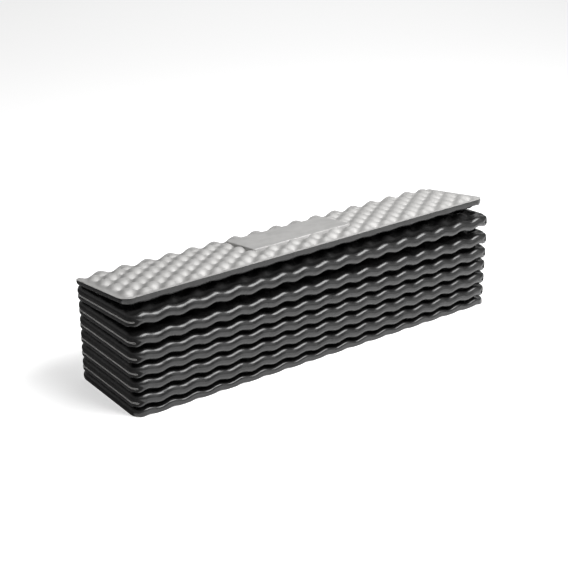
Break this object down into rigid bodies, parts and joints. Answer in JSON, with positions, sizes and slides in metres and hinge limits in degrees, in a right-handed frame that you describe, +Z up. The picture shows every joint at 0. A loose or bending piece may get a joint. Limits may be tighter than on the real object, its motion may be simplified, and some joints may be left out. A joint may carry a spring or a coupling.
{
  "type": "foam sleeping pad",
  "caption": "Accordion-folding closed-cell foam sleeping pad with reflective film, egg-crate panels joined by folds at front and back, shown stacked flat.",
  "frame": {"origin": "centre of the folded stack's footprint, on the surface it rests on", "axes": "+X along the fold lines (the mat's width), +Y from the front of the stack to the back, +Z up through the layers"},
  "size_m": [0.55, 0.138, 0.1439],
  "materials": {
    "foam": "satin closed-cell foam skin, black",
    "film": "satin vacuum-metallised film, finely creased"
  },
  "bodies": {
    "panel_01": {"panel_01_foam": "foam", "panel_01_film": "film", "badge_plate": "film"},
    "panel_02": {"panel_02_foam": "foam", "panel_02_film": "film"},
    "panel_03": {"panel_03_foam": "foam", "panel_03_film": "film"},
    "panel_04": {"panel_04_foam": "foam", "panel_04_film": "film"},
    "panel_05": {"panel_05_foam": "foam", "panel_05_film": "film"},
    "panel_06": {"panel_06_foam": "foam", "panel_06_film": "film"},
    "panel_07": {"panel_07_foam": "foam", "panel_07_film": "film"},
    "panel_08": {"panel_08_foam": "foam", "panel_08_film": "film"},
    "panel_09": {"panel_09_foam": "foam", "panel_09_film": "film"},
    "panel_10": {"panel_10_foam": "foam", "panel_10_film": "film"},
    "panel_11": {"panel_11_foam": "foam", "panel_11_film": "film"},
    "panel_12": {"panel_12_foam": "foam", "panel_12_film": "film"},
    "panel_13": {"panel_13_foam": "foam", "panel_13_film": "film"},
    "panel_14": {"panel_14_foam": "foam", "panel_14_film": "film"},
    "fold_01": {"fold_01_foam": "foam", "fold_01_film": "film"},
    "fold_02": {"fold_02_foam": "foam", "fold_02_film": "film"},
    "fold_03": {"fold_03_foam": "foam", "fold_03_film": "film"},
    "fold_04": {"fold_04_foam": "foam", "fold_04_film": "film"},
    "fold_05": {"fold_05_foam": "foam", "fold_05_film": "film"},
    "fold_06": {"fold_06_foam": "foam", "fold_06_film": "film"},
    "fold_07": {"fold_07_foam": "foam", "fold_07_film": "film"},
    "fold_08": {"fold_08_foam": "foam", "fold_08_film": "film"},
    "fold_09": {"fold_09_foam": "foam", "fold_09_film": "film"},
    "fold_10": {"fold_10_foam": "foam", "fold_10_film": "film"},
    "fold_11": {"fold_11_foam": "foam", "fold_11_film": "film"},
    "fold_12": {"fold_12_foam": "foam", "fold_12_film": "film"},
    "fold_13": {"fold_13_foam": "foam", "fold_13_film": "film"}
  },
  "joints": [
    {"name": "fold_13_lower_hinge", "type": "hinge", "parent": "panel_14", "child": "fold_13", "pos_m": [0, 0.0646, 0.0042], "axis": [-1, 0, 0], "range_deg": [0, 90]},
    {"name": "fold_13_upper_hinge", "type": "hinge", "parent": "fold_13", "child": "panel_13", "pos_m": [0, 0.0646, 0.0134], "axis": [-1, 0, 0], "range_deg": [0, 90]},
    {"name": "fold_12_lower_hinge", "type": "hinge", "parent": "panel_13", "child": "fold_12", "pos_m": [0, -0.0646, 0.0134], "axis": [1, 0, 0], "range_deg": [0, 90]},
    {"name": "fold_12_upper_hinge", "type": "hinge", "parent": "fold_12", "child": "panel_12", "pos_m": [0, -0.0646, 0.0226], "axis": [1, 0, 0], "range_deg": [0, 90]},
    {"name": "fold_11_lower_hinge", "type": "hinge", "parent": "panel_12", "child": "fold_11", "pos_m": [0, 0.0646, 0.0226], "axis": [-1, 0, 0], "range_deg": [0, 90]},
    {"name": "fold_11_upper_hinge", "type": "hinge", "parent": "fold_11", "child": "panel_11", "pos_m": [0, 0.0646, 0.0318], "axis": [-1, 0, 0], "range_deg": [0, 90]},
    {"name": "fold_10_lower_hinge", "type": "hinge", "parent": "panel_11", "child": "fold_10", "pos_m": [0, -0.0646, 0.0318], "axis": [1, 0, 0], "range_deg": [0, 90]},
    {"name": "fold_10_upper_hinge", "type": "hinge", "parent": "fold_10", "child": "panel_10", "pos_m": [0, -0.0646, 0.041], "axis": [1, 0, 0], "range_deg": [0, 90]},
    {"name": "fold_09_lower_hinge", "type": "hinge", "parent": "panel_10", "child": "fold_09", "pos_m": [0, 0.0646, 0.041], "axis": [-1, 0, 0], "range_deg": [0, 90]},
    {"name": "fold_09_upper_hinge", "type": "hinge", "parent": "fold_09", "child": "panel_09", "pos_m": [0, 0.0646, 0.0502], "axis": [-1, 0, 0], "range_deg": [0, 90]},
    {"name": "fold_08_lower_hinge", "type": "hinge", "parent": "panel_09", "child": "fold_08", "pos_m": [0, -0.0646, 0.0502], "axis": [1, 0, 0], "range_deg": [0, 90]},
    {"name": "fold_08_upper_hinge", "type": "hinge", "parent": "fold_08", "child": "panel_08", "pos_m": [0, -0.0646, 0.0594], "axis": [1, 0, 0], "range_deg": [0, 90]},
    {"name": "fold_07_lower_hinge", "type": "hinge", "parent": "panel_08", "child": "fold_07", "pos_m": [0, 0.0646, 0.0594], "axis": [-1, 0, 0], "range_deg": [0, 90]},
    {"name": "fold_07_upper_hinge", "type": "hinge", "parent": "fold_07", "child": "panel_07", "pos_m": [0, 0.0646, 0.0686], "axis": [-1, 0, 0], "range_deg": [0, 90]},
    {"name": "fold_06_lower_hinge", "type": "hinge", "parent": "panel_07", "child": "fold_06", "pos_m": [0, -0.0646, 0.0686], "axis": [1, 0, 0], "range_deg": [0, 90]},
    {"name": "fold_06_upper_hinge", "type": "hinge", "parent": "fold_06", "child": "panel_06", "pos_m": [0, -0.0646, 0.0778], "axis": [1, 0, 0], "range_deg": [0, 90]},
    {"name": "fold_05_lower_hinge", "type": "hinge", "parent": "panel_06", "child": "fold_05", "pos_m": [0, 0.0646, 0.0778], "axis": [-1, 0, 0], "range_deg": [0, 89.6]},
    {"name": "fold_05_upper_hinge", "type": "hinge", "parent": "fold_05", "child": "panel_05", "pos_m": [0, 0.06466, 0.087], "axis": [-1, 0, 0], "range_deg": [0, 89.6]},
    {"name": "fold_04_lower_hinge", "type": "hinge", "parent": "panel_05", "child": "fold_04", "pos_m": [0, -0.06452, 0.0888], "axis": [1, 0, 0], "range_deg": [0, 90]},
    {"name": "fold_04_upper_hinge", "type": "hinge", "parent": "fold_04", "child": "panel_04", "pos_m": [0, -0.06439, 0.098], "axis": [1, 0, 0], "range_deg": [0, 90]},
    {"name": "fold_03_lower_hinge", "type": "hinge", "parent": "panel_04", "child": "fold_03", "pos_m": [0, 0.06479, 0.0962], "axis": [-1, 0, 0], "range_deg": [0, 88.6]},
    {"name": "fold_03_upper_hinge", "type": "hinge", "parent": "fold_03", "child": "panel_03", "pos_m": [0, 0.06515, 0.10539], "axis": [-1, 0, 0], "range_deg": [0, 88.6]},
    {"name": "fold_02_lower_hinge", "type": "hinge", "parent": "panel_03", "child": "fold_02", "pos_m": [0, -0.0638, 0.1135], "axis": [1, 0, 0], "range_deg": [0, 90]},
    {"name": "fold_02_upper_hinge", "type": "hinge", "parent": "fold_02", "child": "panel_02", "pos_m": [0, -0.06322, 0.12269], "axis": [1, 0, 0], "range_deg": [0, 90]},
    {"name": "fold_01_lower_hinge", "type": "hinge", "parent": "panel_02", "child": "fold_01", "pos_m": [0, 0.06572, 0.11457], "axis": [-1, 0, 0], "range_deg": [0, 88]},
    {"name": "fold_01_upper_hinge", "type": "hinge", "parent": "fold_01", "child": "panel_01", "pos_m": [0, 0.06662, 0.12373], "axis": [-1, 0, 0], "range_deg": [0, 88]}
  ],
  "couplings": [
    {"joint": "fold_13_upper_hinge", "follows": "fold_13_lower_hinge", "ratio": 1},
    {"joint": "fold_12_upper_hinge", "follows": "fold_12_lower_hinge", "ratio": 1},
    {"joint": "fold_11_upper_hinge", "follows": "fold_11_lower_hinge", "ratio": 1},
    {"joint": "fold_10_upper_hinge", "follows": "fold_10_lower_hinge", "ratio": 1},
    {"joint": "fold_09_upper_hinge", "follows": "fold_09_lower_hinge", "ratio": 1},
    {"joint": "fold_08_upper_hinge", "follows": "fold_08_lower_hinge", "ratio": 1},
    {"joint": "fold_07_upper_hinge", "follows": "fold_07_lower_hinge", "ratio": 1},
    {"joint": "fold_06_upper_hinge", "follows": "fold_06_lower_hinge", "ratio": 1},
    {"joint": "fold_05_upper_hinge", "follows": "fold_05_lower_hinge", "ratio": 1},
    {"joint": "fold_04_upper_hinge", "follows": "fold_04_lower_hinge", "ratio": 1},
    {"joint": "fold_03_upper_hinge", "follows": "fold_03_lower_hinge", "ratio": 1},
    {"joint": "fold_02_upper_hinge", "follows": "fold_02_lower_hinge", "ratio": 1},
    {"joint": "fold_01_upper_hinge", "follows": "fold_01_lower_hinge", "ratio": 1}
  ]
}
